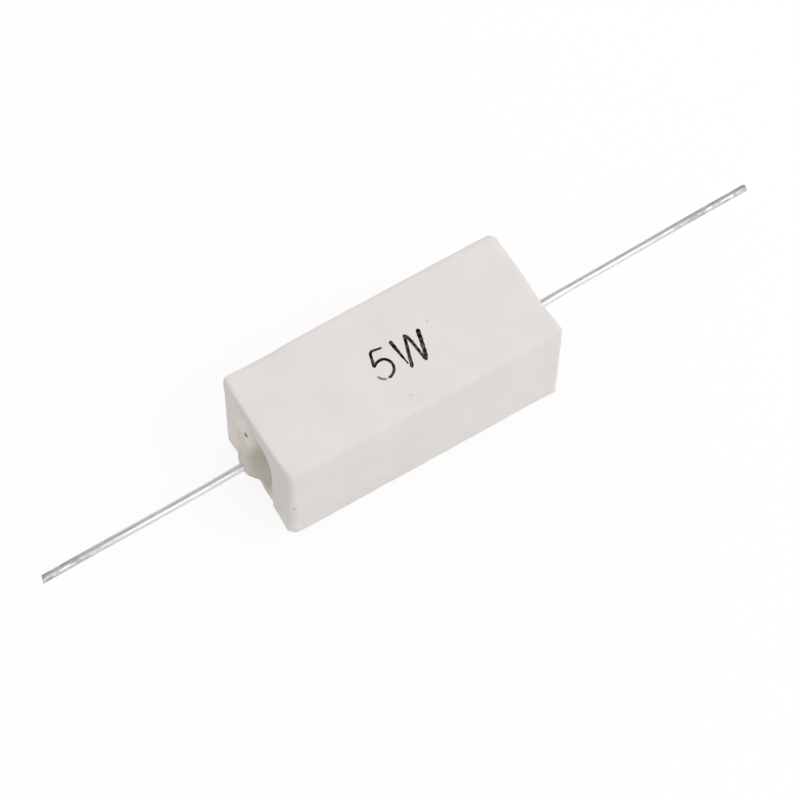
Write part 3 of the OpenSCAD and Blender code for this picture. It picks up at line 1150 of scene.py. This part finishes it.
# Angles in degrees
BOWL_FIRST_ANGLE = 125
BOWL_LAST_ANGLE = -91
TAIL_FIRST_ANGLE = -101
TAIL_LAST_ANGLE = -160
BOWL_STEP_ANGLE = 14
# First and last width of each stroke of the 5
FLAG_WIDTHS = (0.18, 0.24)
BOWL_WIDTHS = (0.23, 0.20)
TAIL_WIDTHS = (0.20, 0.17)
# The W in a unit square, down and up twice: corners, first width and last width of each stroke
W_STROKES = (
    (((-0.01, 1.03), (0.18, 0.15)), 0.33, 0.10),
    (((0.235, -0.01), (0.505, 1.0)), 0.27, 0.22),
    (((0.52, 0.97), (0.62, 0.70), (0.745, 0.03)), 0.25, 0.20),
    (((0.735, -0.01), (0.82, 0.145), (0.93, 0.66), (0.98, 0.96)), 0.27, 0.34),
)


def bowl_arc(first_angle, last_angle):
    """Points of the bowl of the 5 in a unit square, from one angle to another."""
    count = round(abs(last_angle - first_angle) / BOWL_STEP_ANGLE)
    points = []
    for step in range(count + 1):
        angle = math.radians(first_angle + (last_angle - first_angle) * step / count)
        u = BOWL_CENTRE[0] + BOWL_RADII[0] * math.cos(angle)
        v = BOWL_CENTRE[1] + BOWL_RADII[1] * math.sin(angle)
        points.append((u, v))
    return points


def five_strokes():
    """The strokes of the 5, in the form that the W's have."""
    bowl = [FIVE_FLAG[-1]] + bowl_arc(BOWL_FIRST_ANGLE, BOWL_LAST_ANGLE)
    tail = bowl_arc(TAIL_FIRST_ANGLE, TAIL_LAST_ANGLE)
    return [(FIVE_FLAG, *FLAG_WIDTHS), (bowl, *BOWL_WIDTHS), (tail, *TAIL_WIDTHS)]


def along_line(corners, step):
    """Points about a step apart along a line of corners."""
    points = [Vector(corners[0])]
    for start, end in zip(corners, corners[1:]):
        start = Vector(start)
        end = Vector(end)
        count = max(1, round((end - start).length / step))
        points += [start.lerp(end, i / count) for i in range(1, count + 1)]
    return points


def top_point(place, lift):
    """A point over or under the case's top face."""
    return case_surface(Vector((place.x, place.y, CASE_TOP))) + Vector((0, 0, lift))


def ink_stroke(corners, first_width, last_width):
    """One stroke as a thin film on the top face, with an uneven edge and round ends."""
    points = along_line(corners, INK_STEP)
    last = len(points) - 1
    rings = []
    for index, point in enumerate(points):
        width = first_width + (last_width - first_width) * index / last
        way = (points[min(last, index + 1)] - points[max(0, index - 1)]).normalized()
        sideways = Vector((-way.y, way.x))
        from_end = min(index, last - index) * INK_STEP
        taper = min(1.0, math.sqrt((from_end + INK_END_BLUNT) / (width / 2)))
        edges = []
        for edge in (LEFT, RIGHT):
            uneven = 1 + INK_UNEVEN * ripple((point.x, point.y, edge), INK_UNEVEN_SIZE, INK_SEED)
            edges.append(point + sideways * edge * width / 2 * taper * uneven)
        left, right = edges
        rings.append([
            top_point(left, -INK_DEPTH), top_point(right, -INK_DEPTH),
            top_point(right, INK_HEIGHT), top_point(left, INK_HEIGHT),
        ])
    return loft("stroke", rings)


def make_rating_mark():
    """The mark: the strokes of both figures, joined into one film."""
    films = []
    for strokes, (left, base, width, height) in ((five_strokes(), FIVE_SIZE), (W_STROKES, W_SIZE)):
        for corners, first_width, last_width in strokes:
            sized = [(left + width * u + INK_SLANT * height * v, base + height * v) for u, v in corners]
            films.append(ink_stroke(sized, first_width, last_width))
    mark = films[0]
    mark.name = "rating_mark"
    combine(mark, "UNION", films[1:])
    finish_piece(mark, ink_material(), INK_SMOOTH_ANGLE)


# Assembly: the pieces that replace CAD nodes, the mark, and the materials of the nodes that stay
tinned = drawn_metal(
    "tinned_wire", dark=(0.70, 0.70, 0.69), bright=(0.89, 0.89, 0.88),
    roughness=(0.34, 0.48), lines_per_mm=9.0, edge_tint=0.55,
)
steel = drawn_metal(
    "plated_steel", dark=(0.50, 0.50, 0.50), bright=(0.64, 0.64, 0.63),
    roughness=(0.25, 0.4), lines_per_mm=6.0, edge_tint=0.8,
)
alloy = drawn_metal(
    "resistance_alloy", dark=(0.28, 0.26, 0.24), bright=(0.42, 0.40, 0.37),
    roughness=(0.35, 0.5), lines_per_mm=8.0, edge_tint=0.8,
)
kept_nodes = {
    "core_rod": core_material(),
    "resistance_winding": alloy,
    "end_cap_left": steel,
    "end_cap_right": steel,
}

make_case()
make_cement()
for side, (name, node) in LEADS.items():
    make_lead(side, name, node, tinned)
make_rating_mark()
for node, material in kept_nodes.items():
    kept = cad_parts[node].data.materials
    kept.clear()
    kept.append(material)
